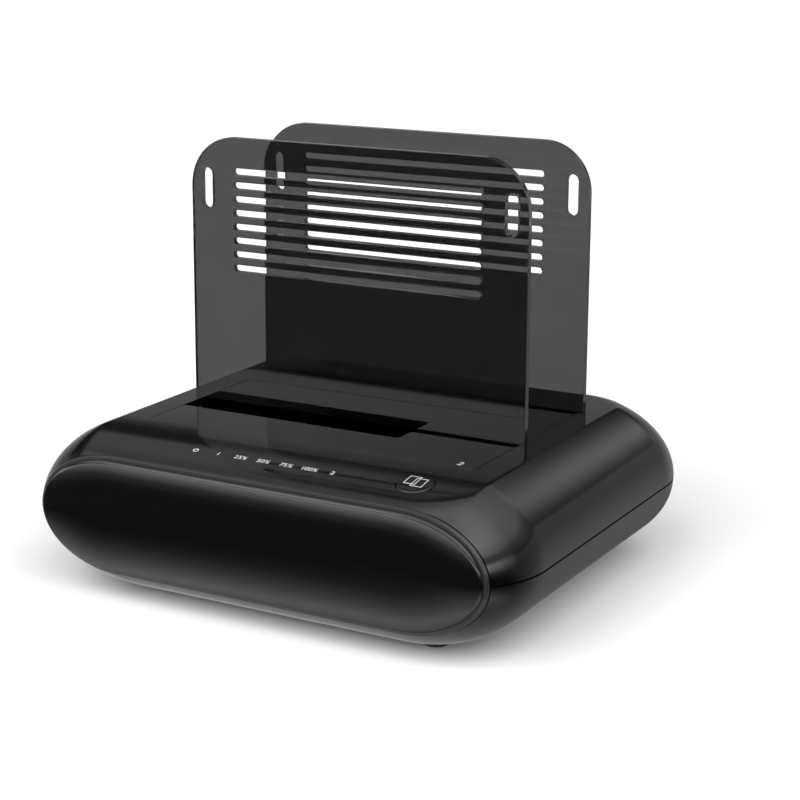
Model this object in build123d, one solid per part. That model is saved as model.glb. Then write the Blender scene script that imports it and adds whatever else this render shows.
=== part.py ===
from build123d import *
import os
from math import cos, radians, sin, sqrt, tan

# Two-bay drive dock. X runs left to right, Y front to back, Z up; origin at the centre of the
# footprint on the floor. All sizes in millimetres.

# Bays, doors and guard plates: the drives they take set the size of the whole dock
BAY_HALF_WIDTH = 51.75
BAY_OPENING = 26.3
GUARD_FACE_Y = -4.9
GUARD_THICK = 2.0
GUARD_PLAY = 0.1
GUARD_BEYOND_BAY = 1.95
GUARD_HALF_WIDTH = BAY_HALF_WIDTH + GUARD_BEYOND_BAY
GUARD_CORNER = 14.5
WELL_WALL = 1.6
WELL_SIDE = 1.85
WELL_SPACE = 1.2
GUARD_WALL = 1.5
GUARD_FRONT_WALL = 1.6
DOOR_THICK = 1.8
DOOR_GAP = 0.3
DOOR_FRONT_GAP = 0.2
DOOR_REAR_GAP = 1.6
DOOR_EDGE = 0.3
CUT_DEPTH = 9.4
CUT_RIGHT_X = 19.9
CUT_CORNER = 1.2
PIN_RADIUS = 0.8
PIN_CLEARANCE = 0.05
PIN_PRESS = 0.02
BARREL_RADIUS = 1.9
PIN_DROP = 4.4
POCKET_CLEARANCE = 0.4
BARREL_WIDE = 10.0
BARREL_NARROW = 8.0
BARREL_INNER_X = 12.0
BARREL_OUTER_X = BAY_HALF_WIDTH - 7.75
BARREL_SPOTS = ((-BARREL_OUTER_X, BARREL_WIDE), (-BARREL_INNER_X, BARREL_NARROW),
                (BARREL_INNER_X, BARREL_NARROW), (BARREL_OUTER_X, BARREL_WIDE))
SPRING_RADIUS = 1.45
SPRING_WIRE = 0.3
SPRING_TURNS = 5
SPRING_PITCH = 1.3
WELL_FRONT_ROOM = PIN_DROP + BARREL_RADIUS + POCKET_CLEARANCE
BAY_PITCH = (BAY_OPENING + GUARD_THICK + GUARD_PLAY + GUARD_WALL + WELL_SPACE + WELL_WALL
             + WELL_FRONT_ROOM)
OPENING_FRONT = GUARD_FACE_Y - BAY_OPENING

# Housing: a pebble with elliptical sides, a flat top and flat-cut ends
TOP_Z = 45.5
PARTING_Z = 25.0
TOP_CUT = 3.0
GROUND_GAP = 1.5
UPPER_RISE = TOP_Z - PARTING_Z + TOP_CUT
LOWER_DROP = PARTING_Z - GROUND_GAP
SIDE_MARGIN = 24.75
HALF_WIDTH = BAY_HALF_WIDTH + SIDE_MARGIN
UPPER_FLANK = 32.5
LOWER_FLANK = 36.2
UPPER_CENTRE_X = HALF_WIDTH - UPPER_FLANK
LOWER_CENTRE_X = HALF_WIDTH - LOWER_FLANK
WALL = 2.2
FRONT_ROOM = 26.7
REAR_ROOM = 25.4
SEAM_Y = OPENING_FRONT - FRONT_ROOM
REAR_Y = GUARD_FACE_Y + GUARD_THICK + BAY_PITCH + REAR_ROOM
NOSE_RADIUS = 29.3
NOSE_LENGTH = 18.4
NOSE_RISE_LOSS = 6.2
REAR_DROP_LOSS = 3.0
UNDER_RUN = 12.4
STRIP_CREASE_Y = OPENING_FRONT - 12.8
STRIP_ANGLE = 12.2
STRIP_BLEND = 42.0
PART_LINE = 0.3
LIP_THICK = 1.0
LIP_RISE = 1.6
LIP_CLEARANCE = 0.1

# Guard plates above the housing
GUARD_RISE = 78.1
GUARD_SINK = 18.0
GUARD_TOP_Z = TOP_Z + GUARD_RISE
GUARD_FOOT_Z = TOP_Z - GUARD_SINK
VENT_COUNT = 8
VENT_PITCH = 4.0
VENT_HEIGHT = 2.0
VENT_HALF_LENGTH = GUARD_HALF_WIDTH - 14.0
VENT_TOP_Z = GUARD_TOP_Z - 9.75
SLOT_WIDTH = 3.7
SLOT_LENGTH = 11.8
SLOT_X = GUARD_HALF_WIDTH - 5.2
SLOT_MID_Z = GUARD_TOP_Z - 15.05

# Front bezel and its ring
RING_THICK = 1.3
RING_INSET = 0.1
RING_BORE_PLAY = 0.15
RING_GROOVE = 0.3
RING_GROOVE_DEPTH = 0.6
BEZEL_INSET = 1.35
BEZEL_BULGE = 2.7
BEZEL_THIN = 0.4
SKIRT_INSET = 3.2
SKIRT_THICK = 1.4
SKIRT_LENGTH = 5.0
RIB_X = (-34.0, 0.0, 34.0)
RIB_HALF = 4.0
RIB_DEPTH = 1.5
RIB_DROP = 2.0
CLIP_HALF = 4.0
CLIP_STEP = 1.0
CLIP_SETBACK = 2.0

# Front controls
LED_COUNT = 7
LED_PITCH = 7.15
LED_MID_X = -2.8
CONTROL_Y = OPENING_FRONT - 15.1
PIPE_RADIUS = 0.8
PIPE_CLEARANCE = 0.03
BOARD_THICK = 1.6
CONTROL_BOARD_Z = TOP_Z - 12.5
CONTROL_TOP = CONTROL_BOARD_Z + BOARD_THICK
CONTROL_BOARD_FRONT = 7.2
CONTROL_BOARD_BACK = 5.3
BUTTON_X = BAY_HALF_WIDTH - 8.75
BUTTON_RADIUS = 5.0
BUTTON_GAP = 0.25
BUTTON_PROUD = 0.3
BUTTON_FLANGE = 1.0
BUTTON_STEM = 1.4
TACT_SIZE = 6.0
TACT_HEIGHT = 3.5
PLUNGER_RADIUS = 1.7
PLUNGER_RISE = 1.0

# Electronics and rear ports
MAIN_BOARD_Z = 6.2
BOARD_TOP = MAIN_BOARD_Z + BOARD_THICK
BOARD_SIDE_ROOM = 1.75
MAIN_BOARD_HALF = BAY_HALF_WIDTH - BOARD_SIDE_ROOM
BOARD_FRONT_ROOM = 21.9
BOARD_REAR_ROOM = 5.9
MAIN_BOARD_Y = (SEAM_Y + BOARD_FRONT_ROOM, REAR_Y - BOARD_REAR_ROOM)
FLOOR_THICK = 1.4
FLOOR_Z = BOARD_TOP + 3.4
CONNECTOR_X = 24.75 - BAY_HALF_WIDTH
CONNECTOR_OFFSET = 4.3
CONNECTOR_SIZE = (44.5, 6.8, 9.0)
CONNECTOR_PLAY = 0.3
CONTACT_PITCH = 1.27
CONTACT_WIDTH = 0.6
CONTACT_THICK = 0.25
BLADE_SLOT_HALF = 1.2
BLADE_SLOT_DEPTH = 5.5
JACK_X = 14.0 - MAIN_BOARD_HALF
JACK_SIZE = (9.0, 14.0, 11.0)
JACK_BORE = 3.2
PORT_X = JACK_X + 24.0
PORT_SIZE = (12.0, 16.0, 10.8)
PORT_WALL = 0.4
SWITCH_X = 22.0
SWITCH_Z = PARTING_Z - 2.0
SWITCH_BODY = (13.0, 10.0, 9.0)
SWITCH_FLANGE = (15.6, 1.2, 11.6)
ROCKER_HALF = 4.9
ROCKER_RISE = 3.6
ROCKER_GAP = 0.3
ROCKER_END_GAP = 0.7
ROCKER_PIN = 0.8
PANEL_THICK = 2.0
PANEL_RECESS = 1.5
PANEL_PLAY = 0.2
PORT_PLAY = 0.15

# Fasteners and feet
CASE_SCREW_X = BAY_HALF_WIDTH + 11.25
CASE_SCREW_Y = (SEAM_Y + 31.9, REAR_Y - 25.9)
CASE_SCREWS = tuple((x, y) for y in CASE_SCREW_Y for x in (-CASE_SCREW_X, CASE_SCREW_X))
FRAME_SCREW_X = BAY_HALF_WIDTH + 6.75
FRAME_SCREW_Y = (GUARD_FACE_Y - 7.1, GUARD_FACE_Y + BAY_PITCH - 10.5)
FRAME_SCREWS = tuple((x, y) for y in FRAME_SCREW_Y for x in (-FRAME_SCREW_X, FRAME_SCREW_X))
BOARD_SCREW_EDGE = 5.0
BOARD_SCREW_X = MAIN_BOARD_HALF - BOARD_SCREW_EDGE
BOARD_SCREW_Y = (MAIN_BOARD_Y[0] + BOARD_SCREW_EDGE, MAIN_BOARD_Y[1] - BOARD_SCREW_EDGE)
BOARD_SCREWS = tuple((x, y) for y in BOARD_SCREW_Y for x in (-BOARD_SCREW_X, BOARD_SCREW_X))
SCREW_RADIUS = 1.3
SCREW_HEAD = 2.6
SCREW_CLEARANCE = 0.03
SCREW_LOOSE = 0.1
BOSS_RADIUS = 2.8
CASE_SEAT_Z = 14.0
CASE_SCREW_LENGTH = 20.0
CASE_PILLAR = 4.6
CASE_PILLAR_TOP = 3.6
EAR_Z = TOP_Z - 12.5
EAR_THICK = 2.4
EAR_RADIUS = 3.2
FRAME_SCREW_LENGTH = 7.5
CONTROL_SCREW_LENGTH = 6.5
BOARD_SCREW_BITE = 2.8
FOOT_X = HALF_WIDTH - 30.5
FOOT_Y = (SEAM_Y + 17.1, REAR_Y - 17.9)
FEET = tuple((x, y) for y in FOOT_Y for x in (-FOOT_X, FOOT_X))
FOOT_RADIUS = 4.0
FOOT_TOP_Z = GROUND_GAP + 1.1
FOOT_PLAY = 0.05
FOOT_EDGE = 0.4

# How far a cut or a bounding block runs on past the dock, and a short overrun past one face
FAR = 220.0
OVER = 1.0

STAND = (Align.CENTER, Align.CENTER, Align.MIN)
parts = {}


def block(x0, x1, y0, y1, z0, z1):
    return Pos((x0 + x1) / 2, (y0 + y1) / 2, (z0 + z1) / 2) * Box(x1 - x0, y1 - y0, z1 - z0)


def post(x, y, z0, z1, radius):
    return Pos(x, y, z0) * Cylinder(radius, z1 - z0, align=STAND)


def rod_x(x0, x1, y, z, radius):
    return Pos((x0 + x1) / 2, y, z) * Rot(0, 90, 0) * Cylinder(radius, x1 - x0)


def rod_y(x, y0, y1, z, radius):
    return Pos(x, (y0 + y1) / 2, z) * Rot(90, 0, 0) * Cylinder(radius, y1 - y0)


def section(y, inset=0.0):
    """Closed outline of the housing at one depth: flat lines joined by quarter ellipses."""
    front = max(SEAM_Y + NOSE_LENGTH - y, 0)
    rear = max(y - (REAR_Y - NOSE_LENGTH), 0)
    run = min(max(front, rear), NOSE_LENGTH)
    shrink = NOSE_RADIUS - sqrt(NOSE_RADIUS ** 2 - run ** 2)
    full = NOSE_RADIUS - sqrt(NOSE_RADIUS ** 2 - NOSE_LENGTH ** 2)
    under = max(run - (NOSE_LENGTH - UNDER_RUN), 0) / UNDER_RUN
    loss = NOSE_RISE_LOSS if front > 0 else REAR_DROP_LOSS
    rise = UPPER_RISE - NOSE_RISE_LOSS * shrink / full - inset
    drop = LOWER_DROP - loss * under ** 1.7 - inset
    reach = HALF_WIDTH - shrink - inset
    low_x = LOWER_CENTRE_X + (UPPER_CENTRE_X - LOWER_CENTRE_X) * shrink / full
    top, low = (UPPER_CENTRE_X, rise), (low_x, drop)
    pieces = [
        Line((-top[0], PARTING_Z + rise), (top[0], PARTING_Z + rise)),
        EllipticalCenterArc((top[0], PARTING_Z), reach - top[0], rise, 0),
        EllipticalCenterArc((low[0], PARTING_Z), reach - low[0], drop, 270),
        Line((-low[0], PARTING_Z - drop), (low[0], PARTING_Z - drop)),
        EllipticalCenterArc((-low[0], PARTING_Z), reach - low[0], drop, 180),
        EllipticalCenterArc((-top[0], PARTING_Z), reach - top[0], rise, 90),
    ]
    plane = Plane(origin=(0, y, 0), x_dir=(1, 0, 0), z_dir=(0, -1, 0))
    return plane * Face(Wire(pieces))


def slab(inset, y0, y1, y_shape):
    """Straight slice of the outline taken at y_shape."""
    return extrude(Pos(0, y0 - y_shape, 0) * section(y_shape, inset), amount=y1 - y0, dir=(0, 1, 0))


def strip_top(lower):
    """Everything under the flat top and the sloping front strip, lowered by the given amount."""
    z = TOP_Z - lower
    crease = STRIP_CREASE_Y
    fall = (crease + FAR) * tan(radians(STRIP_ANGLE))
    half = radians(STRIP_ANGLE) / 2
    reach = (STRIP_BLEND - lower) * tan(half)
    a = (crease + reach, z)
    b = (crease - reach * cos(2 * half), z - reach * sin(2 * half))
    radius = STRIP_BLEND - lower
    mid = (crease + reach - radius * sin(half), z - radius * (1 - cos(half)))
    edges = [
        Line((FAR, z), a),
        ThreePointArc(a, mid, b),
        Line(b, (-FAR, z - fall)),
        Line((-FAR, z - fall), (-FAR, -FAR)),
        Line((-FAR, -FAR), (FAR, -FAR)),
        Line((FAR, -FAR), (FAR, z)),
    ]
    plane = Plane(origin=(-FAR, 0, 0), x_dir=(0, 1, 0), z_dir=(1, 0, 0))
    return extrude(plane * Face(Wire(edges)), amount=2 * FAR, dir=(1, 0, 0))


def pebble(inset, beyond):
    """Housing volume; the ends can run on past the cut planes to open a cavity."""
    steps = (0.0, 0.3, 0.55, 0.78, 1.0)
    front = [section(SEAM_Y + NOSE_LENGTH * (1 - s), inset) for s in steps]
    rear = [section(REAR_Y - NOSE_LENGTH * (1 - s), inset) for s in steps]
    solid = slab(inset, SEAM_Y + NOSE_LENGTH, REAR_Y - NOSE_LENGTH, 0)
    solid = solid + loft(front) + loft(rear)
    if beyond > 0:
        solid = solid + slab(inset, SEAM_Y - beyond, SEAM_Y, SEAM_Y)
        solid = solid + slab(inset, REAR_Y, REAR_Y + beyond, REAR_Y)
    return solid & strip_top(inset)


def surface_z(y):
    """Height of the outer surface on the centre strip."""
    return TOP_Z - max(STRIP_CREASE_Y - y, 0) * tan(radians(STRIP_ANGLE))


outer = pebble(0, 0)
cavity = pebble(WALL, OVER)
lip_outer = pebble(WALL - LIP_THICK, OVER)
shell_body = outer - cavity
low_edge = PARTING_Z - PART_LINE / 2
high_edge = PARTING_Z + PART_LINE / 2
lip_z = PARTING_Z + LIP_RISE
panel_back = REAR_Y - PANEL_RECESS
panel_front = panel_back - PANEL_THICK
inner_y = (SEAM_Y + LIP_THICK, panel_front - 2 * RIB_DEPTH)

# Lower shell: floor half with lip, screw pillars, board posts and rests for the feet
lower = shell_body & block(-FAR, FAR, -FAR, FAR, -FAR, low_edge)
lip = (lip_outer - cavity) & block(-FAR, FAR, inner_y[0], inner_y[1], low_edge - 0.01, lip_z)
lower = lower + lip
for x, y in CASE_SCREWS:
    lower = lower + (post(x, y, 0, low_edge, CASE_PILLAR) & outer)
    lower = lower - post(x, y, -OVER, CASE_SEAT_Z, SCREW_HEAD + 0.6)
    lower = lower - post(x, y, 0, PARTING_Z, SCREW_RADIUS + SCREW_LOOSE)
for x, y in BOARD_SCREWS:
    lower = lower + (post(x, y, GROUND_GAP + 0.5, MAIN_BOARD_Z, BOSS_RADIUS) & outer)
    lower = lower - post(x, y, MAIN_BOARD_Z - BOARD_SCREW_BITE - 0.2, BOARD_TOP,
                         SCREW_RADIUS + SCREW_CLEARANCE)
for x, y in FEET:
    lower = lower - post(x, y, -OVER, FOOT_TOP_Z, FOOT_RADIUS + FOOT_PLAY)

# Upper shell: bay openings, guard slits, light holes and button hole
top_z = TOP_Z - WALL
upper = shell_body & block(-FAR, FAR, -FAR, FAR, high_edge, FAR)
upper = upper - (pebble(WALL - LIP_THICK - LIP_CLEARANCE, OVER)
                 & block(-FAR, FAR, inner_y[0] - 0.3, inner_y[1] + 0.3, 0, lip_z + 0.2))
guard_back = GUARD_FACE_Y + GUARD_THICK
guard_side = GUARD_HALF_WIDTH + GUARD_PLAY
for bay in range(2):
    dy = bay * BAY_PITCH
    upper = upper - block(-BAY_HALF_WIDTH, BAY_HALF_WIDTH, OPENING_FRONT + dy,
                          guard_back + GUARD_PLAY + dy, top_z - OVER, FAR)
    upper = upper - block(-guard_side, guard_side, GUARD_FACE_Y - GUARD_PLAY + dy,
                          guard_back + GUARD_PLAY + dy, top_z - OVER, FAR)
led_x = [LED_MID_X + LED_PITCH * (i - (LED_COUNT - 1) / 2) for i in range(LED_COUNT)]
for x in led_x:
    upper = upper - post(x, CONTROL_Y, CONTROL_TOP + OVER, FAR, PIPE_RADIUS + PIPE_CLEARANCE)
upper = upper - post(BUTTON_X, CONTROL_Y, CONTROL_TOP + OVER, FAR, BUTTON_RADIUS + BUTTON_GAP)
case_tip = CASE_SEAT_Z + CASE_SCREW_LENGTH
frame_tip = EAR_Z + FRAME_SCREW_LENGTH
control_tip = CONTROL_BOARD_Z + CONTROL_SCREW_LENGTH
for x, y in CASE_SCREWS:
    upper = upper + (post(x, y, high_edge, FAR, CASE_PILLAR_TOP) & outer)
    upper = upper - post(x, y, CASE_SEAT_Z, case_tip + 2.0, SCREW_RADIUS + SCREW_CLEARANCE)
for x, y in FRAME_SCREWS:
    upper = upper + (post(x, y, EAR_Z + EAR_THICK, FAR, BOSS_RADIUS) & outer)
    upper = upper - post(x, y, EAR_Z, frame_tip + 0.5, SCREW_RADIUS + SCREW_CLEARANCE)
control_screws = ((led_x[0] - 7.25, CONTROL_Y - 4.2), (BUTTON_X + 10.5, CONTROL_Y))
for x, y in control_screws:
    upper = upper + (post(x, y, CONTROL_TOP, FAR, SCREW_RADIUS + 1.1) & outer)
    upper = upper - post(x, y, CONTROL_BOARD_Z, control_tip + 0.5, SCREW_RADIUS + SCREW_CLEARANCE)

# Rear panel sits in a recess between ribs of both shells
panel_inset = WALL + PANEL_PLAY
panel_top = PARTING_Z + UPPER_RISE - NOSE_RISE_LOSS - panel_inset
panel_low = PARTING_Z - LOWER_DROP + REAR_DROP_LOSS + panel_inset
rib_front = panel_front - RIB_DEPTH
for x in RIB_X:
    x0, x1 = x - RIB_HALF, x + RIB_HALF
    upper = upper + (block(x0, x1, rib_front, panel_back, panel_top, FAR) & outer)
    upper = upper + (block(x0, x1, rib_front, panel_front, panel_top - RIB_DROP, FAR) & outer)
    lower = lower + (block(x0, x1, rib_front, panel_back, 0, panel_low) & outer)
panel = slab(panel_inset, panel_front, panel_back, REAR_Y)


def port_hole(x, size, z0, play):
    half = size[0] / 2 + play
    return block(x - half, x + half, panel_front - OVER, panel_back + OVER, z0 - play,
                 z0 + size[2] + play)


panel = panel - port_hole(PORT_X, PORT_SIZE, BOARD_TOP, PORT_PLAY)
panel = panel - port_hole(JACK_X, JACK_SIZE, BOARD_TOP, PORT_PLAY)
panel = panel - port_hole(SWITCH_X, SWITCH_BODY, SWITCH_Z - SWITCH_BODY[2] / 2, PORT_PLAY)
parts["rear_panel"] = panel

# Front ring and bezel
ring_front = SEAM_Y - RING_THICK
around = (ring_front - 2 * BEZEL_BULGE, SEAM_Y + OVER)
ring = slab(RING_INSET, ring_front, SEAM_Y, SEAM_Y)
ring = ring - slab(SKIRT_INSET - RING_BORE_PLAY, *around, SEAM_Y)
groove = slab(-2.0, SEAM_Y - RING_GROOVE, SEAM_Y, SEAM_Y)
ring = ring - (groove - slab(RING_INSET + RING_GROOVE_DEPTH, *around, SEAM_Y))
parts["bezel_trim_ring"] = ring
dome_steps = ((0.0, 0.0), (0.21, 0.25), (0.38, 0.9), (0.72, 4.4), (0.92, 8.4), (1.0, 12.5))
dome = loft([Pos(0, ring_front - BEZEL_BULGE * s - SEAM_Y, 0) * section(SEAM_Y, BEZEL_INSET + t)
             for s, t in dome_steps])
groove = slab(-2.0, ring_front - RING_GROOVE, ring_front, SEAM_Y)
dome = dome - (groove - slab(BEZEL_INSET + RING_GROOVE_DEPTH, *around, SEAM_Y))
skirt = slab(SKIRT_INSET, ring_front - 0.1, ring_front + SKIRT_LENGTH, SEAM_Y)
hollow = slab(SKIRT_INSET + SKIRT_THICK, ring_front - BEZEL_THIN, SEAM_Y + 2 * SKIRT_LENGTH, SEAM_Y)
bezel = dome + skirt - hollow
clip_y = SEAM_Y + CLIP_SETBACK
for x in RIB_X:
    for side in (-1, 1):
        edge = PARTING_Z + side * (UPPER_RISE - NOSE_RISE_LOSS - SKIRT_INSET)
        z0, z1 = sorted((edge - side * 0.2, edge + side * CLIP_STEP))
        bezel = bezel + block(x - CLIP_HALF, x + CLIP_HALF, clip_y, ring_front + SKIRT_LENGTH,
                              z0, z1)
        wall = PARTING_Z + side * (UPPER_RISE - NOSE_RISE_LOSS - WALL)
        k0, k1 = sorted((edge + side * 0.1, wall + side * OVER))
        catch = block(x - CLIP_HALF, x + CLIP_HALF, SEAM_Y, clip_y - 0.1, k0, k1) & outer
        if side > 0:
            upper = upper + catch
        else:
            lower = lower + catch
parts["front_bezel"] = bezel
parts["bottom_shell"] = lower
parts["top_shell"] = upper

# Bay frame: two open wells in one moulding, hung under the top
pin_z = TOP_Z - PIN_DROP
pin_y = OPENING_FRONT - PIN_DROP
well_front = pin_y - BARREL_RADIUS - POCKET_CLEARANCE
well_side = BAY_HALF_WIDTH + WELL_SIDE
wall_back = guard_back + GUARD_PLAY + GUARD_WALL
frame_front = well_front - WELL_WALL
frame_back = wall_back + BAY_PITCH
frame = block(-well_side, well_side, frame_front, frame_back, FLOOR_Z - FLOOR_THICK, top_z)
for bay in range(2):
    dy = bay * BAY_PITCH
    frame = frame + block(-guard_side - GUARD_WALL, guard_side + GUARD_WALL,
                          GUARD_FACE_Y - GUARD_FRONT_WALL + dy, wall_back + dy,
                          GUARD_FOOT_Z - 2 * GUARD_WALL, top_z)
for bay in range(2):
    dy = bay * BAY_PITCH
    frame = frame - block(-BAY_HALF_WIDTH, BAY_HALF_WIDTH, well_front + dy, GUARD_FACE_Y + dy,
                          FLOOR_Z, FAR)
    frame = frame - block(-guard_side, guard_side, GUARD_FACE_Y - GUARD_PLAY + dy,
                          guard_back + GUARD_PLAY + dy, GUARD_FOOT_Z, FAR)
    conn_y = GUARD_FACE_Y - CONNECTOR_OFFSET + dy
    cx = CONNECTOR_SIZE[0] / 2 + CONNECTOR_PLAY
    cy = CONNECTOR_SIZE[1] / 2 + CONNECTOR_PLAY
    frame = frame - block(CONNECTOR_X - cx, CONNECTOR_X + cx, conn_y - cy, conn_y + cy, 0,
                          FLOOR_Z + OVER)
    frame = frame - rod_x(-FAR, FAR, pin_y + dy, pin_z, PIN_RADIUS + PIN_PRESS)
frame = frame - block(-well_side + WELL_WALL, well_side - WELL_WALL, wall_back, frame_front + BAY_PITCH,
                      0, top_z - WELL_WALL)
for x, y in FRAME_SCREWS:
    inner = well_side - 0.5 if x > 0 else -well_side + 0.5
    x0, x1 = sorted((inner, x))
    frame = frame + block(x0, x1, y - EAR_RADIUS, y + EAR_RADIUS, EAR_Z, EAR_Z + EAR_THICK)
    frame = frame + post(x, y, EAR_Z, EAR_Z + EAR_THICK, EAR_RADIUS)
    frame = frame - post(x, y, EAR_Z - OVER, EAR_Z + EAR_THICK + OVER, SCREW_RADIUS + SCREW_LOOSE)
parts["bay_frame"] = frame

# Doors, pins, springs, guard plates and drive connectors, one set per bay
door_front = OPENING_FRONT + DOOR_FRONT_GAP
door_rear = GUARD_FACE_Y - DOOR_REAR_GAP
door_half = BAY_HALF_WIDTH - DOOR_GAP
door_under = TOP_Z - DOOR_THICK
arm_top = pin_z + BARREL_RADIUS
names = ("front", "rear")
cutter_plane = Plane(origin=(0, 0, 0), x_dir=(1, 0, 0), z_dir=(0, -1, 0))
for bay, name in enumerate(names):
    dy = bay * BAY_PITCH
    door = block(-door_half, door_half, door_front, door_rear, door_under, TOP_Z)
    door = fillet(door.edges().filter_by(Axis.X).group_by(Axis.Z)[-1], DOOR_EDGE)
    notch = block(-FAR, CUT_RIGHT_X, GUARD_FACE_Y - CUT_DEPTH, GUARD_FACE_Y, 0, FAR)
    notch = fillet(notch.edges().filter_by(Axis.Z).group_by(Axis.X)[-1].group_by(Axis.Y)[0], CUT_CORNER)
    door = door - notch
    for x, width in BARREL_SPOTS:
        profile = Polyline((pin_y, arm_top), (door_front, arm_top), (door_front, door_under + 0.4),
                           (door_front + 4, door_under + 0.4), (door_front - 0.5, pin_z - 1.2),
                           (pin_y, pin_z - BARREL_RADIUS), (pin_y, arm_top))
        plane = Plane(origin=(x - width / 2, 0, 0), x_dir=(0, 1, 0), z_dir=(1, 0, 0))
        door = door + extrude(plane * Face(Wire(profile.edges())), amount=width, dir=(1, 0, 0))
        door = door + rod_x(x - width / 2, x + width / 2, pin_y, pin_z, BARREL_RADIUS)
    door = door - rod_x(-FAR, FAR, pin_y, pin_z, PIN_RADIUS + PIN_CLEARANCE)
    parts["bay_door_" + name] = Pos(0, dy, 0) * door
    parts["door_pin_" + name] = rod_x(-well_side + 0.1, well_side - 0.1, pin_y + dy, pin_z, PIN_RADIUS)
    length = SPRING_TURNS * SPRING_PITCH
    path = Helix(SPRING_PITCH, length, SPRING_RADIUS)
    start = Plane(origin=path @ 0, z_dir=path % 0)
    coil = sweep(start * Circle(SPRING_WIRE), path=path, is_frenet=True)
    parts["door_spring_" + name] = Pos(-length / 2, pin_y + dy, pin_z) * Rot(0, 90, 0) * coil
    guard = block(-GUARD_HALF_WIDTH, GUARD_HALF_WIDTH, GUARD_FACE_Y, guard_back, GUARD_FOOT_Z, GUARD_TOP_Z)
    guard = fillet(guard.edges().filter_by(Axis.Y).group_by(Axis.Z)[-1], GUARD_CORNER)
    for i in range(VENT_COUNT):
        vent = Pos(0, VENT_TOP_Z - i * VENT_PITCH) * SlotOverall(2 * VENT_HALF_LENGTH, VENT_HEIGHT)
        guard = guard - extrude(cutter_plane * vent, amount=FAR, both=True)
    for side in (-1, 1):
        hole = Pos(side * SLOT_X, SLOT_MID_Z) * SlotOverall(SLOT_LENGTH, SLOT_WIDTH, rotation=90)
        guard = guard - extrude(cutter_plane * hole, amount=FAR, both=True)
    parts["drive_guard_" + name] = Pos(0, dy, 0) * guard
    conn_y = GUARD_FACE_Y - CONNECTOR_OFFSET + dy
    sx, sy, sz = CONNECTOR_SIZE
    conn_top = BOARD_TOP + sz
    conn = block(CONNECTOR_X - sx / 2, CONNECTOR_X + sx / 2, conn_y - sy / 2, conn_y + sy / 2,
                 BOARD_TOP, conn_top)
    slot_z = conn_top - BLADE_SLOT_DEPTH
    slot_half = BLADE_SLOT_HALF
    pockets = ((CONNECTOR_X + 10.5, 11.0), (CONNECTOR_X - 7.0, 21.0))
    contacts = []
    for x, width in pockets:
        conn = conn - block(x - width / 2, x + width / 2, conn_y - slot_half, conn_y + slot_half,
                            slot_z, conn_top + OVER)
        count = round((width - 1.5) / CONTACT_PITCH)
        for i in range(count):
            cx = x + CONTACT_PITCH * (i - (count - 1) / 2)
            contacts.append(block(cx - CONTACT_WIDTH / 2, cx + CONTACT_WIDTH / 2,
                                  conn_y + slot_half - CONTACT_THICK, conn_y + slot_half,
                                  slot_z, conn_top - 0.6))
    parts["drive_connector_" + name] = conn
    parts["connector_contacts_" + name] = Compound(contacts)

# Main board with chips and capacitors
board = block(-MAIN_BOARD_HALF, MAIN_BOARD_HALF, MAIN_BOARD_Y[0], MAIN_BOARD_Y[1], MAIN_BOARD_Z, BOARD_TOP)
for x, y in BOARD_SCREWS:
    board = board - post(x, y, 0, BOARD_TOP + OVER, SCREW_RADIUS + SCREW_LOOSE)
parts["main_board"] = board
chip_x = MAIN_BOARD_HALF - 32.0
chip_spots = ((chip_x, 12.0, 10.0, 10.0, 1.2), (chip_x, -20.0, 10.0, 10.0, 1.2),
              (chip_x + 18.0, 14.0, 5.0, 4.0, 1.4), (chip_x + 18.0, -18.0, 5.0, 4.0, 1.4),
              (chip_x - 22.0, 12.0, 6.0, 5.0, 1.4))
parts["board_chips"] = Compound([block(x - a / 2, x + a / 2, y - b / 2, y + b / 2, BOARD_TOP, BOARD_TOP + h)
                                 for x, y, a, b, h in chip_spots])
cap_y = MAIN_BOARD_Y[1] - 9.0
cap_spots = ((PORT_X + 18.0, cap_y), (MAIN_BOARD_HALF - 14.0, cap_y - 3.0), (PORT_X - 12.5, cap_y + 3.0))
parts["board_capacitors"] = Compound([post(x, y, BOARD_TOP, BOARD_TOP + 8.5, 3.15) for x, y in cap_spots])

# Rear ports and switch
jw, jd, jh = JACK_SIZE
jack = block(JACK_X - jw / 2, JACK_X + jw / 2, panel_back - jd, panel_back, BOARD_TOP, BOARD_TOP + jh)
jack_z = BOARD_TOP + jh / 2
jack = jack - rod_y(JACK_X, panel_back - jd + 4, panel_back + OVER, jack_z, JACK_BORE)
parts["power_inlet"] = jack
parts["power_inlet_pin"] = rod_y(JACK_X, panel_back - jd + 4, panel_back - 1, jack_z, 1.0)
pw, pd, ph = PORT_SIZE
port_outer = block(PORT_X - pw / 2, PORT_X + pw / 2, panel_back - pd, panel_back, BOARD_TOP, BOARD_TOP + ph)
port_inner = block(PORT_X - pw / 2 + PORT_WALL, PORT_X + pw / 2 - PORT_WALL, panel_back - pd + PORT_WALL,
                   panel_back + OVER, BOARD_TOP + PORT_WALL, BOARD_TOP + ph - PORT_WALL)
parts["computer_port"] = port_outer - port_inner
port_mid = BOARD_TOP + ph / 2
tongue = block(PORT_X - pw / 2 + PORT_WALL, PORT_X + pw / 2 - PORT_WALL, panel_back - pd + PORT_WALL,
               panel_back - pd + 5, BOARD_TOP + PORT_WALL, BOARD_TOP + ph - PORT_WALL)
tongue = tongue + block(PORT_X - 3.2, PORT_X + 3.2, panel_back - pd + 4, panel_back - 1.5, port_mid - 1.6,
                        port_mid + 1.6)
parts["computer_port_tongue"] = tongue
sw, sd, sh = SWITCH_BODY
fw, fd, fh = SWITCH_FLANGE
frame_box = block(SWITCH_X - sw / 2, SWITCH_X + sw / 2, panel_back - sd, panel_back, SWITCH_Z - sh / 2,
                  SWITCH_Z + sh / 2)
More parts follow.
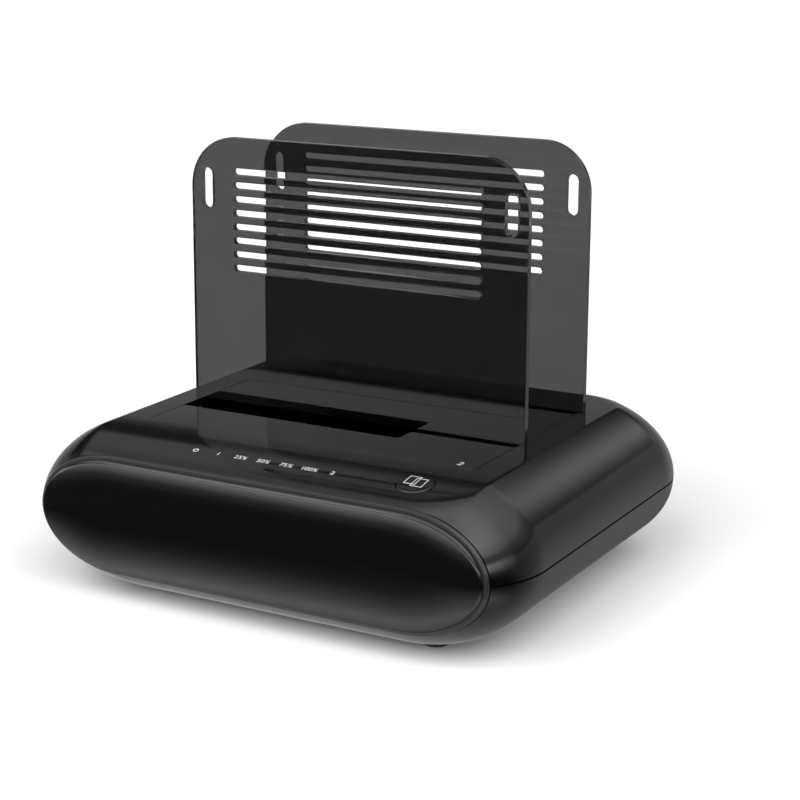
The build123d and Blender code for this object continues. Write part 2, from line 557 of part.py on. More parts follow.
frame_box = frame_box + block(SWITCH_X - fw / 2, SWITCH_X + fw / 2, panel_back, panel_back + fd,
                              SWITCH_Z - fh / 2, SWITCH_Z + fh / 2)
pocket_half = ROCKER_HALF + ROCKER_END_GAP
frame_box = frame_box - block(SWITCH_X - pocket_half, SWITCH_X + pocket_half, panel_back - 7.0,
                              panel_back + fd + OVER, SWITCH_Z - ROCKER_RISE - ROCKER_GAP,
                              SWITCH_Z + ROCKER_RISE + ROCKER_GAP)
rocker_y = panel_back - 3.0
pivot = Pos(SWITCH_X, rocker_y, SWITCH_Z)
frame_box = frame_box - pivot * Cylinder(ROCKER_PIN + PIN_CLEARANCE, 2 * ROCKER_RISE + 2.0)
parts["power_switch_frame"] = frame_box
rh = ROCKER_HALF
rocker = Polyline((-rh, 3.6), (0, 2.7), (rh, 4.3), (rh - 0.6, -0.6), (1.6, -2.4), (-1.6, -2.4),
                  (0.6 - rh, -0.6), (-rh, 3.6))
rocker_plane = Plane(origin=(SWITCH_X, rocker_y, SWITCH_Z - ROCKER_RISE), x_dir=(1, 0, 0), z_dir=(0, 0, 1))
rocker = extrude(rocker_plane * Face(Wire(rocker.edges())), amount=2 * ROCKER_RISE, dir=(0, 0, 1))
rocker = rocker + pivot * Cylinder(ROCKER_PIN, 2 * ROCKER_RISE + 1.6)
parts["power_switch_rocker"] = rocker

# Front controls under the sloping strip
control = block(control_screws[0][0] - 4.0, control_screws[1][0] + 3.5, CONTROL_Y - CONTROL_BOARD_FRONT,
                CONTROL_Y + CONTROL_BOARD_BACK, CONTROL_BOARD_Z, CONTROL_TOP)
for x, y in control_screws:
    control = control - post(x, y, 0, FAR, SCREW_RADIUS + SCREW_LOOSE)
parts["control_board"] = control
parts["led_emitters"] = Compound([block(x - 1.0, x + 1.0, CONTROL_Y - 0.7, CONTROL_Y + 0.7, CONTROL_TOP,
                                        CONTROL_TOP + 1.0) for x in led_x])
bar_z = CONTROL_TOP + 1.8
pipes = block(led_x[0] - 3.5, led_x[-1] + 3.5, CONTROL_Y - 1.6, CONTROL_Y + 1.6, bar_z, bar_z + 1.4)
for x in led_x:
    pipes = pipes + post(x, CONTROL_Y, CONTROL_TOP + 1.2, FAR, PIPE_RADIUS)
for x in (led_x[0] - 2.6, led_x[-1] + 2.6):
    pipes = pipes + post(x, CONTROL_Y, CONTROL_TOP, bar_z + 0.1, 0.8)
parts["light_pipes"] = pipes & strip_top(0.1)
tact_top = CONTROL_TOP + TACT_HEIGHT
plunger_top = tact_top + PLUNGER_RISE
tact = block(BUTTON_X - TACT_SIZE / 2, BUTTON_X + TACT_SIZE / 2, CONTROL_Y - TACT_SIZE / 2,
             CONTROL_Y + TACT_SIZE / 2, CONTROL_TOP, tact_top)
tact = tact - post(BUTTON_X, CONTROL_Y, CONTROL_TOP + 1.2, FAR, PLUNGER_RADIUS + 0.05)
parts["push_switch"] = tact
parts["push_switch_plunger"] = post(BUTTON_X, CONTROL_Y, tact_top - 1.0, plunger_top, PLUNGER_RADIUS)
cap = post(BUTTON_X, CONTROL_Y, plunger_top + 0.8, FAR, BUTTON_RADIUS) & strip_top(-BUTTON_PROUD)
flange_top = surface_z(CONTROL_Y - BUTTON_RADIUS - 1.4) - WALL - 0.35
cap = cap + post(BUTTON_X, CONTROL_Y, flange_top - BUTTON_FLANGE, flange_top, BUTTON_RADIUS + 1.0)
cap = cap + post(BUTTON_X, CONTROL_Y, plunger_top, plunger_top + 1.0, BUTTON_STEM)
parts["clone_button"] = cap

# Screws and feet
parts["case_screws"] = Compound([post(x, y, CASE_SEAT_Z, case_tip, SCREW_RADIUS)
                                 + post(x, y, CASE_SEAT_Z - 1.8, CASE_SEAT_Z, SCREW_HEAD)
                                 for x, y in CASE_SCREWS])
parts["board_screws"] = Compound([post(x, y, MAIN_BOARD_Z - BOARD_SCREW_BITE, BOARD_TOP, SCREW_RADIUS)
                                  + post(x, y, BOARD_TOP, BOARD_TOP + 1.3, SCREW_HEAD)
                                  for x, y in BOARD_SCREWS])
parts["frame_screws"] = Compound([post(x, y, EAR_Z, frame_tip, SCREW_RADIUS)
                                  + post(x, y, EAR_Z - 1.6, EAR_Z, SCREW_HEAD) for x, y in FRAME_SCREWS])
parts["control_screws"] = Compound([post(x, y, CONTROL_BOARD_Z, control_tip, SCREW_RADIUS)
                                    + post(x, y, CONTROL_BOARD_Z - 1.4, CONTROL_BOARD_Z, 2.2)
                                    for x, y in control_screws])
foot_names = ("front_left", "front_right", "rear_left", "rear_right")
for (x, y), name in zip(FEET, foot_names):
    foot = post(x, y, 0, FOOT_TOP_Z, FOOT_RADIUS)
    parts["foot_" + name] = chamfer(foot.edges().group_by(Axis.Z)[0], FOOT_EDGE)

os.makedirs("parts", exist_ok=True)
for name, shape in parts.items():
    shape.label = name
    export_step(shape, "parts/" + name + ".step")
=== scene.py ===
import math

import bmesh
import bpy
import numpy as np
from mathutils import Matrix, Vector


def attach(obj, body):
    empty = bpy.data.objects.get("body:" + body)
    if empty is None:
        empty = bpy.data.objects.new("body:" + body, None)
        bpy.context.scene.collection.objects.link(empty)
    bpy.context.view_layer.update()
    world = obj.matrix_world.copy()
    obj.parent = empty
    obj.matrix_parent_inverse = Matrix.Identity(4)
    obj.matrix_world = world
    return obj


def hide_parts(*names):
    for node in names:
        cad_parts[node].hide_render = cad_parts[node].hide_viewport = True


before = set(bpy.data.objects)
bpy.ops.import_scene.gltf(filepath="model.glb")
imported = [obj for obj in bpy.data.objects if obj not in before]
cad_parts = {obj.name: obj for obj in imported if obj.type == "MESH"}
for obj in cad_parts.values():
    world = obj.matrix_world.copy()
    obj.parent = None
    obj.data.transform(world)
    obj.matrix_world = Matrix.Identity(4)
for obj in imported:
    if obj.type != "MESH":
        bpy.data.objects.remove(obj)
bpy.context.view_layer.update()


# Upper housing shell. One gloss black ABS moulding with a flat top, a sloping control strip in
# front and elliptical flanks; it drops over the lower shell and is screwed from below.
TOP_Z = 45.5
PARTING_Z = 25.0
HALF_GAP = 0.25
HALF_WIDTH = 76.5
RISE = 23.5
UPPER_CENTRE_X = 44.0
SEAM_Y = -57.9
REAR_Y = 61.9
NOSE_RADIUS = 29.3
NOSE_LENGTH = 18.4
NOSE_SHRINK = NOSE_RADIUS - math.sqrt(NOSE_RADIUS ** 2 - NOSE_LENGTH ** 2)
NOSE_RISE_LOSS = 6.2
UNDER_LEVEL = 6.0
UNDER_CURVE = 1.7
REAR_DROP_LOSS = 3.0
LOWER_CENTRE_X = 40.3
WALL = 2.2
STRIP_CREASE_Y = -44.0
STRIP_ANGLE = math.radians(12.2)
STRIP_BLEND = 42.0
SAG_START_Y = -33.0
SAG_LEAD = 6.5
SAG_TAIL = 9.0
SAG_CURVE = 0.0016
RIM_BLEND = 0.10
STRIP_RIM_BLEND = 2.2
STRIP_RIM_FROM, STRIP_RIM_RUN = -41.0, 16.0
REAR_RIM_BLEND = 0.9
REAR_RIM_FROM, REAR_RIM_RUN = 43.0, 10.0
GUARD_FACE_Y = -4.9
GUARD_THICK = 2.0
BAY_PITCH = 39.4
BAY_OPENING = 26.3
BAY_HALF_WIDTH = 51.75
SLIT_HALF_WIDTH = 53.8
SLIT_PLAY = 0.1
CONTROL_Y = -46.3
BUTTON_Y = -46.9
BUTTON_X = 42.8
BUTTON_HOLE_RADIUS = 5.25
BUTTON_PATCH = 6.5
LIGHT_HOLE_RADIUS = 0.83
LIGHT_PATCH = 1.4
LIGHT_X = [-2.8 + 7.15 * (i - 3) for i in range(7)]
NOSE_STEP, BODY_STEP, REAR_STEP, FLAT_STEP = 0.65, 2.6, 0.45, 2.0
GLOSS_BLACK = (0.0014, 0.0014, 0.0015)
DUST = (0.03, 0.03, 0.032)
MM = 0.001


class Value:
    """A socket in a material. Python's operators on it add Math nodes to the same material."""

    def __init__(self, finish, socket):
        self.finish = finish
        self.socket = socket

    def math(self, operation, first, second=0.0, clamp=False):
        return self.finish.node("ShaderNodeMath", {"operation": operation, "use_clamp": clamp},
                                {0: first, 1: second})

    def __add__(self, other):
        return self.math("ADD", self, other)

    __radd__ = __add__

    def __mul__(self, other):
        return self.math("MULTIPLY", self, other)

    __rmul__ = __mul__

    def __sub__(self, other):
        return self.math("SUBTRACT", self, other)

    def __rsub__(self, other):
        return self.math("SUBTRACT", other, self)

    def __truediv__(self, other):
        return self.math("DIVIDE", self, other)

    def __rtruediv__(self, other):
        return self.math("DIVIDE", other, self)

    def __pow__(self, other):
        return self.math("POWER", self, other)

    def __rpow__(self, other):
        return self.math("POWER", other, self)

    def __gt__(self, other):
        return self.math("GREATER_THAN", self, other)

    def clipped(self):
        return self.math("ADD", self, 0.0, clamp=True)


class Finish:
    """A material made of nodes, with one surface shader whose sockets take numbers or Values."""

    def __init__(self, name, shader="ShaderNodeBsdfPrincipled"):
        self.material = bpy.data.materials.new(name)
        self.material.use_nodes = True
        self.tree = self.material.node_tree
        self.tree.nodes.clear()
        self.output = self.tree.nodes.new("ShaderNodeOutputMaterial")
        self.shader = self.tree.nodes.new(shader)
        self.tree.links.new(self.shader.outputs[0], self.output.inputs["Surface"])

    def feed(self, socket, source):
        if isinstance(source, Value):
            self.tree.links.new(source.socket, socket)
        elif isinstance(source, (tuple, list)) and socket.type == "RGBA" and len(source) == 3:
            socket.default_value = (*source, 1.0)
        else:
            socket.default_value = source

    def node(self, kind, settings=None, inputs=None, output=0):
        made = self.tree.nodes.new(kind)
        for key, value in (settings or {}).items():
            if key == "stops":
                ramp = made.color_ramp.elements
                while len(ramp) < len(value):
                    ramp.new(1.0)
                for stop, (place, shade) in zip(ramp, value):
                    stop.position = place
                    stop.color = (shade, shade, shade, 1.0)
            else:
                setattr(made, key, value)
        for key, value in (inputs or {}).items():
            self.feed(made.inputs[key], value)
        return Value(self, made.outputs[output])

    def surface(self, **sockets):
        for key, value in sockets.items():
            self.feed(self.shader.inputs[key.replace("_", " ")], value)
        return self

    def place(self):
        return self.node("ShaderNodeTexCoord", output="Object")

    def noise(self, scale, detail=2.0, roughness=0.5, vector=None):
        """Noise of about 1/scale metres, from 0 to 1, on the piece's own coordinates."""
        return self.node("ShaderNodeTexNoise", {},
                         {"Vector": vector or self.place(), "Scale": scale, "Detail": detail,
                          "Roughness": roughness})

    def mix(self, share, first, second):
        """Colour that goes from first to second as share goes from 0 to 1."""
        return self.node("ShaderNodeMix", {"data_type": "RGBA"},
                         {"Factor": share, 6: first, 7: second}, output=2)

    def bump(self, height, depth):
        return self.node("ShaderNodeBump", {}, {"Height": height, "Distance": depth})


def gloss_plastic(name, colour, polish, haze):
    """Injection-moulded gloss plastic: polished skin with slight flow marks and fine dust."""
    finish = Finish(name)
    flow = finish.noise(38.0, 3.0)
    dust = finish.noise(5200.0, 1.0) > 0.79
    finish.surface(Base_Color=finish.mix(dust * 0.25, colour, DUST),
                   Roughness=polish + flow * haze + dust * 0.12,
                   Normal=finish.bump(finish.noise(900.0, 2.0), 0.000004),
                   IOR=1.5)
    return finish.material


def smooth(mesh, crease):
    """Shades a mesh smooth, but for edges that turn by more than the crease angle in degrees."""
    mesh.shade_smooth()
    mesh.set_sharp_from_angle(angle=math.radians(crease))


def weld(mesh, crease, outward):
    """Merges the doubles of a mesh, turns its faces outwards where asked, and shades it."""
    work = bmesh.new()
    work.from_mesh(mesh)
    bmesh.ops.remove_doubles(work, verts=work.verts, dist=1e-7)
    if outward:
        bmesh.ops.recalc_face_normals(work, faces=work.faces)
    work.to_mesh(mesh)
    work.free()
    smooth(mesh, crease)


def solid_mesh(name, points, faces, crease=32.0, outward=False):
    """Welded mesh from points in millimetres."""
    mesh = bpy.data.meshes.new(name)
    mesh.from_pydata((np.asarray(points, float) * MM).tolist(), [], [list(f) for f in faces])
    weld(mesh, crease, outward)
    return mesh


def put(name, data):
    """A new object at the origin of the scene."""
    made = bpy.data.objects.new(name, data)
    bpy.context.scene.collection.objects.link(made)
    return made


def show(name, mesh, material, body, stands_for=()):
    """Puts a mesh in the scene with its material, on its CAD body, for the nodes it stands for."""
    piece = put(name, mesh)
    mesh.materials.clear()
    mesh.materials.append(material)
    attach(piece, body)
    if stands_for:
        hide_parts(*stands_for)
    return piece


def settle(piece, crease=32.0):
    """Applies the piece's modifiers, so that its mesh is final, and marks its sharp edges again."""
    graph = bpy.context.evaluated_depsgraph_get()
    mesh = bpy.data.meshes.new_from_object(piece.evaluated_get(graph))
    piece.modifiers.clear()
    piece.data = mesh
    smooth(mesh, crease)


def thicken(piece, wall, edge=0.0, crease=32.0):
    """Gives a sheet its wall thickness inwards, rounds the rims of its cuts and settles it."""
    shell = piece.modifiers.new("wall", "SOLIDIFY")
    shell.thickness = wall * MM
    shell.offset = -1.0
    shell.use_even_offset = True
    if edge:
        rim = piece.modifiers.new("rim", "BEVEL")
        rim.width = edge * MM
        rim.segments = 2
        rim.limit_method = "ANGLE"
        rim.angle_limit = math.radians(60)
    settle(piece, crease)


def lines(start, stop, step, fixed):
    """Sorted values from start to stop about one step apart, with the fixed ones among them."""
    even = np.linspace(start, stop, max(2, int(round((stop - start) / step)) + 1))
    fixed = np.array([v for v in fixed if start <= v <= stop])
    if len(fixed):
        far = np.abs(even[:, None] - fixed[None, :]).min(axis=1) > 0.35 * step
        far[[0, -1]] = True
        even = even[far]
    return np.unique(np.round(np.concatenate([even, fixed]), 5))


def quads(number, wrap=False, turned=False):
    """Faces of a grid of point numbers, each from four neighbours, in the grid's own rows and
    columns. wrap closes each row into a loop, and turned faces them the other way."""
    if wrap:
        number = np.concatenate([number, number[:, :1]], axis=1)
    corners = [number[:-1, :-1], number[:-1, 1:], number[1:, 1:], number[1:, :-1]]
    return np.stack([corners[i] for i in ((0, 3, 2, 1) if turned else (0, 1, 2, 3))], -1)


def ease(share):
    """Smooth step: three times the square less twice the cube, held between 0 and 1."""
    share = np.clip(share, 0, 1)
    return share * share * (3 - 2 * share)


def housing(y):
    """Terms of the outline at depth y: the half width, which a circular nose draws in at each end,
    the rise of the upper half-ellipse, the drop of the lower one, whose loss grows as a power of
    the run into the nose, and the centre of the lower quarter-ellipses."""
    front = np.maximum(SEAM_Y + NOSE_LENGTH - y, 0)
    rear = np.maximum(y - (REAR_Y - NOSE_LENGTH), 0)
    run = np.minimum(np.maximum(front, rear), NOSE_LENGTH)
    shrink = NOSE_RADIUS - np.sqrt(NOSE_RADIUS ** 2 - run ** 2)
    share = shrink / NOSE_SHRINK
    under = np.maximum(run - UNDER_LEVEL, 0) / (NOSE_LENGTH - UNDER_LEVEL)
    rise = RISE - NOSE_RISE_LOSS * share
    drop = RISE - np.where(front > 0, NOSE_RISE_LOSS, REAR_DROP_LOSS) * under ** UNDER_CURVE
    centre = LOWER_CENTRE_X + (UPPER_CENTRE_X - LOWER_CENTRE_X) * share
    return HALF_WIDTH - shrink, rise, drop, centre


def deck(y):
    """Height of the flat top, which rolls on an arc into the strip that falls towards the front.
    A sag is taken off: it starts as a parabola, and its slope then fades out in a line."""
    reach = STRIP_BLEND * math.tan(STRIP_ANGLE / 2)
    start = STRIP_CREASE_Y + reach
    end = STRIP_CREASE_Y - reach * math.cos(STRIP_ANGLE)
    turned = np.clip(start - y, 0, STRIP_BLEND)
    arc = TOP_Z - STRIP_BLEND + np.sqrt(STRIP_BLEND ** 2 - turned ** 2)
    slope = TOP_Z + (y - STRIP_CREASE_Y) * math.tan(STRIP_ANGLE)
    lead = np.clip(SAG_START_Y - y, 0, SAG_LEAD)
    tail = np.clip(SAG_START_Y - SAG_LEAD - y, 0, SAG_TAIL)
    sag = SAG_CURVE * (lead ** 2 + 2 * SAG_LEAD * (tail - tail ** 2 / (2 * SAG_TAIL)))
    return np.where(y >= start, TOP_Z, np.where(y <= end, slope, arc)) - sag


def lower_of(a, b, blend):
    """The lower of two heights, rounded over a blend width where they cross."""
    h = np.clip(0.5 + 0.5 * (b - a) / blend, 0, 1)
    return b * (1 - h) + a * h - blend * h * (1 - h)


def edge_blend(y):
    """Width of the round on the rim of the flat: crisp along the sides, eased to a softer one at
    the back and to the softest down the front strip."""
    front = STRIP_RIM_BLEND * ease((STRIP_RIM_FROM - y) / STRIP_RIM_RUN)
    return RIM_BLEND + front + REAR_RIM_BLEND * ease((y - REAR_RIM_FROM) / REAR_RIM_RUN)


def top_height(x, y):
    """Height of the upper shell over a point of the plan: an ellipse's flank under the deck."""
    reach, rise, _, _ = housing(y)
    out = np.clip((np.abs(x) - UPPER_CENTRE_X) / (reach - UPPER_CENTRE_X), 0, 1)
    return lower_of(PARTING_Z + rise * np.sqrt(1 - out ** 2), deck(y), edge_blend(y))


def ring_to_hole(points, loop, centre, radius, rings):
    """Blends a closed loop of grid points, step by step, into a circle on the same surface."""
    start = points[loop][:, :2]
    angle = np.arctan2(start[:, 1] - centre[1], start[:, 0] - centre[0])
    circle = np.stack([centre[0] + radius * np.cos(angle), centre[1] + radius * np.sin(angle)], 1)
    count = len(loop)
    share = (np.arange(1, rings + 1) / rings)[:, None, None]
    flat = start[None] * (1 - share) + circle[None] * share
    height = top_height(flat[..., 0], flat[..., 1])
    new = np.concatenate([flat, height[..., None]], 2).reshape(-1, 3)
    index = np.concatenate([[loop], len(points) + np.arange(rings * count).reshape(rings, count)])
    return np.concatenate([points, new]), quads(index, wrap=True).reshape(-1, 4)


bay_cuts = []
for bay in range(2):
    shift = bay * BAY_PITCH
    slit_back = GUARD_FACE_Y + GUARD_THICK + SLIT_PLAY + shift
    slit_front = GUARD_FACE_Y - SLIT_PLAY + shift
    door_front = GUARD_FACE_Y - BAY_OPENING + shift
    bay_cuts.append((BAY_HALF_WIDTH, door_front, slit_back))
    bay_cuts.append((SLIT_HALF_WIDTH, slit_front, slit_back))

# Each round hole: its centre, its radius, half the square patch of grid it is cut in, its rings.
round_holes = [(x, CONTROL_Y, LIGHT_HOLE_RADIUS, LIGHT_PATCH, 3) for x in LIGHT_X]
round_holes.append((BUTTON_X, BUTTON_Y, BUTTON_HOLE_RADIUS, BUTTON_PATCH, 5))
fixed_y = [v for cut in bay_cuts for v in cut[1:]]
fixed_y += [v for hole in round_holes for v in (hole[1] - hole[3], hole[1] + hole[3])]
row_y = np.unique(np.concatenate([
    lines(SEAM_Y, SEAM_Y + NOSE_LENGTH + 1.0, NOSE_STEP, fixed_y),
    lines(SEAM_Y + NOSE_LENGTH + 1.0, REAR_Y - NOSE_LENGTH, BODY_STEP, fixed_y),
    lines(REAR_Y - NOSE_LENGTH, REAR_Y, REAR_STEP, fixed_y)]))

# Steps up a flank: 0 at the parting line, 1 at the rim of the flat, 2 over the ellipse's centre.
crease_mid = math.asin((TOP_Z - PARTING_Z) / RISE)
side_x = np.array([BUTTON_X + BUTTON_PATCH, BAY_HALF_WIDTH, SLIT_HALF_WIDTH])
side_turn = np.arccos((side_x - UPPER_CENTRE_X) / (HALF_WIDTH - UPPER_CENTRE_X))
side_fixed = 1 + (side_turn - crease_mid) / (math.pi / 2 - crease_mid)
side_steps = np.unique(np.concatenate([lines(0.0, 0.97, 0.032, []), [0.985, 1.0, 1.02, 1.06],
                                       lines(1.1, 1.96, 0.075, side_fixed)]))
flat_fixed = [v for hole in round_holes for v in (hole[0] - hole[3], hole[0] + hole[3])]
flat_x = lines(-UPPER_CENTRE_X, UPPER_CENTRE_X, FLAT_STEP, flat_fixed)

reach, rise, drop, low_x = housing(row_y)
crease_turn = np.arcsin(np.clip((deck(row_y) - PARTING_Z) / rise, 0, math.sin(math.radians(80))))
first_turn = np.arcsin(HALF_GAP / rise)
below = first_turn[:, None] + np.minimum(side_steps, 1)[None] * (crease_turn - first_turn)[:, None]
above = np.maximum(side_steps - 1, 0)[None] * (math.pi / 2 - crease_turn)[:, None]
turn = below + above
right_x = UPPER_CENTRE_X + (reach - UPPER_CENTRE_X)[:, None] * np.cos(turn)
flank_z = lower_of(PARTING_Z + rise[:, None] * np.sin(turn), deck(row_y)[:, None],
                   edge_blend(row_y)[:, None])
mid_x = np.broadcast_to(flat_x, (len(row_y), len(flat_x)))
mid_z = lower_of(PARTING_Z + rise, deck(row_y), edge_blend(row_y))[:, None] + 0 * mid_x
grid_x = np.concatenate([-right_x, mid_x, right_x[:, ::-1]], axis=1)
grid_z = np.concatenate([flank_z, mid_z, flank_z[:, ::-1]], axis=1)
grid_y = np.broadcast_to(row_y[:, None], grid_x.shape)
points = np.stack([grid_x, grid_y, grid_z], -1).reshape(-1, 3)
rows, columns = grid_x.shape
number = np.arange(rows * columns).reshape(rows, columns)
cell_x = (grid_x[:-1, :-1] + grid_x[1:, 1:]) / 2
cell_y = (grid_y[:-1, :-1] + grid_y[1:, 1:]) / 2
kept = np.ones(cell_x.shape, bool)
for half, front, back in bay_cuts:
    kept &= ~((np.abs(cell_x) < half) & (cell_y > front) & (cell_y < back))
patches = []
straight = SEAM_Y + NOSE_LENGTH + 4.0
mid_row = int(np.argmin(np.abs(row_y - straight)))
for x, y, radius, half, rings in round_holes:
    c0, c1 = [int(np.argmin(np.abs(grid_x[mid_row] - v))) for v in (x - half, x + half)]
    r0, r1 = [int(np.argmin(np.abs(row_y - v))) for v in (y - half, y + half)]
    kept[r0:r1, c0:c1] = False
    loop = np.concatenate([number[r0, c0:c1], number[r0:r1, c1], number[r1, c1:c0:-1],
                           number[r1:r0:-1, c0]])
    points, ring = ring_to_hole(points, loop, (x, y), radius, rings)
    patches.append(ring)
faces = np.concatenate([quads(number)[kept], *patches])
used, inverse = np.unique(faces, return_inverse=True)
gloss_black = gloss_plastic("gloss_black_abs", GLOSS_BLACK, 0.035, 0.02)
upper = show("upper_shell", solid_mesh("upper_shell", points[used], inverse.reshape(-1, 4), 12),
             gloss_black, "housing", ["top_shell"])
thicken(upper, WALL, 0.12, 14)


# Lower housing shell. Gloss black ABS tray that curves in towards the floor, with wells for the
# rubber feet and for the four long screws that hold the two shells together.
CASE_SCREWS = ((-63.0, -26.0), (63.0, -26.0), (-63.0, 36.0), (63.0, 36.0))
SCREW_WELL_RADIUS = 3.2
SCREW_WELL_TOP = 13.9
FEET = ((-46.0, -40.8), (46.0, -40.8), (-46.0, 44.0), (46.0, 44.0))
FOOT_WELL_RADIUS = 4.05
FOOT_WELL_TOP = 2.6
row_y = np.unique(np.concatenate([lines(SEAM_Y, SEAM_Y + NOSE_LENGTH, 0.8, []),
                                  lines(SEAM_Y + NOSE_LENGTH, REAR_Y - NOSE_LENGTH, 3.0, []),
                                  lines(REAR_Y - NOSE_LENGTH, REAR_Y, 0.8, [])]))
reach, rise, drop, low_x = housing(row_y)
first_turn = np.arcsin(HALF_GAP / drop)
turn = first_turn[:, None] + np.linspace(0, 0.985, 40)[None] * (math.pi / 2 - first_turn)[:, None]
right_x = low_x[:, None] + (reach - low_x)[:, None] * np.cos(turn)
flank_z = PARTING_Z - drop[:, None] * np.sin(turn)
mid_x = low_x[:, None] * np.linspace(-1, 1, 23)[None]
mid_z = (PARTING_Z - drop)[:, None] + 0 * mid_x
grid_x = np.concatenate([-right_x, mid_x, right_x[:, ::-1]], axis=1)
grid_z = np.concatenate([flank_z, mid_z, flank_z[:, ::-1]], axis=1)
grid_y = np.broadcast_to(row_y[:, None], grid_x.shape)
points = np.stack([grid_x, grid_y, grid_z], -1).reshape(-1, 3)
faces = quads(np.arange(grid_x.size).reshape(grid_x.shape), turned=True).reshape(-1, 4)
lower = show("lower_shell", solid_mesh("lower_shell", points, faces), gloss_black, "housing",
             ["bottom_shell"])
thicken(lower, WALL, 0.0, 20)


def tube(profile, count=48):
    """Closed solid of revolution about Z: each (radius, height) of the profile makes one ring."""
    ring = np.linspace(0, 2 * math.pi, count, endpoint=False)
    profile = np.array(profile, float)
    radius, height = profile[:, :1], profile[:, 1:]
    body = np.stack([radius * np.cos(ring), radius * np.sin(ring), height + 0 * ring], -1)
    index = np.arange(body.shape[0] * count).reshape(-1, count)
    sides = quads(index, wrap=True).reshape(-1, 4)
    return body.reshape(-1, 3), [*sides.tolist(), index[-1].tolist(), index[0][::-1].tolist()]


drills = []
faces = []
wells = [(x, y, SCREW_WELL_RADIUS, SCREW_WELL_TOP) for x, y in CASE_SCREWS]
wells += [(x, y, FOOT_WELL_RADIUS, FOOT_WELL_TOP) for x, y in FEET]
total = 0
for x, y, radius, top in wells:
    body, sides = tube([(radius, -3.0), (radius, top)], 40)
    drills.append(body + [x, y, 0])
    faces += [[i + total for i in side] for side in sides]
    total += len(body)
drill = put("floor_wells", solid_mesh("floor_wells", np.concatenate(drills), faces, outward=True))
sink = lower.modifiers.new("wells", "BOOLEAN")
sink.object = drill
sink.solver = "EXACT"
settle(lower, 24)
bpy.data.objects.remove(drill)


# Parting lip. The thin inner rim of the lower shell stands up inside the upper one, so the fine
# gap between the shells shows a dark ledge and not the inside of the case.
LIP_IN = 1.25
LIP_THICK = 0.95
LIP_BELOW = 1.2
LIP_ABOVE = 1.5
LIP_SHORT = 0.1
row_y = lines(SEAM_Y + LIP_SHORT, REAR_Y - LIP_SHORT, 1.2, [])
reach = housing(row_y)[0]
strips = []
for side in (-1, 1):
    x = side * (reach - LIP_IN)
    for height in (PARTING_Z - LIP_BELOW, PARTING_Z + LIP_ABOVE):
        strips.append(np.stack([x, row_y, np.full_like(x, height)], -1))
points = np.concatenate(strips)
index = np.arange(len(points)).reshape(4, -1)
faces = np.concatenate([quads(index[[1, 0]])[0], quads(index[2:])[0]])
lip_black = gloss_plastic("unpolished_lip", (0.0012, 0.0012, 0.0012), 0.7, 0.1)
lip = show("parting_lip", solid_mesh("parting_lip", points, faces), lip_black, "housing")
thicken(lip, LIP_THICK)


# Trim ring and front bezel. A thin satin ring is clipped between the shells and the domed front
# plate, so two fine dark seams run all round the front.
RING_THICK = 1.3
RING_INSET = 0.1
RING_WIDTH = 3.05
RING_EDGE = 0.12
RING_SLOPES = np.array([0.72, 0.21, 0.72])
GROOVE = 0.3
GROOVE_DEPTH = 0.6
BEZEL_INSET = 1.35
RIM_ROUND = 0.9
RIM_RISE = 0.7
CROWN = 2.0
SEAM_A = HALF_WIDTH - UPPER_CENTRE_X - NOSE_SHRINK
SEAM_B = RISE - NOSE_RISE_LOSS


def seam_loop(side, top, low, ends=72, straight=40):
    """Stadium with elliptical ends, seen from the front: two flat runs joined by half-ellipses
    whose radii are each less by an inset of its own for the sides, the top and the underside."""
    turn = np.linspace(-math.pi / 2, math.pi / 2, ends)
    run = np.linspace(1, -1, straight)[1:-1]
    a = SEAM_A - side
    z = np.where(turn > 0, SEAM_B - top, SEAM_B - low) * np.sin(turn)
    x = np.concatenate([UPPER_CENTRE_X + a * np.cos(turn), UPPER_CENTRE_X * run,
                        -UPPER_CENTRE_X - a * np.cos(turn), -UPPER_CENTRE_X * run])
    z = np.concatenate([z, np.full(len(run), z[-1]), z[::-1], np.full(len(run), z[0])])
    return x, PARTING_Z + z


def along_seam(profile, closed):
    """Carries a profile of (side, top and underside insets, depth) round the seam outline; a closed
    profile joins its last point to its first."""
    loops = []
    for side, top, low, y in profile:
        x, z = seam_loop(side, top, low)
        loops.append(np.stack([x, np.full_like(x, y), z], -1))
    points = np.array(loops)
    index = np.arange(points.shape[0] * points.shape[1]).reshape(points.shape[:2])
    if closed:
        index = np.concatenate([index, index[:1]])
    return points.reshape(-1, 3), quads(index, wrap=True).reshape(-1, 4)


ring_front = SEAM_Y - RING_THICK
ring_back = SEAM_Y - GROOVE
groove_floor = [RING_INSET + GROOVE_DEPTH] * 3
ring_profile = [(*groove_floor, SEAM_Y), (*groove_floor, ring_back),
                (RING_INSET + RING_EDGE, RING_INSET + 0.1, RING_INSET + RING_EDGE, ring_back)]
for step in (0.08, 0.2, 0.4, 0.6, 0.8, 0.94):
    ring_profile.append((*(RING_INSET + RING_SLOPES * step), ring_back - step))
ring_profile.append((*(RING_INSET + RING_SLOPES + RING_EDGE), ring_front))
ring_profile += [(RING_WIDTH, RING_WIDTH, RING_WIDTH, y) for y in (ring_front, SEAM_Y)]
points, faces = along_seam(ring_profile, True)
ring_black = gloss_plastic("satin_black_ring", (0.011, 0.011, 0.011), 0.3, 0.05)
show("trim_ring", solid_mesh("trim_ring", points, faces, 40, True), ring_black, "housing",
     ["bezel_trim_ring"])

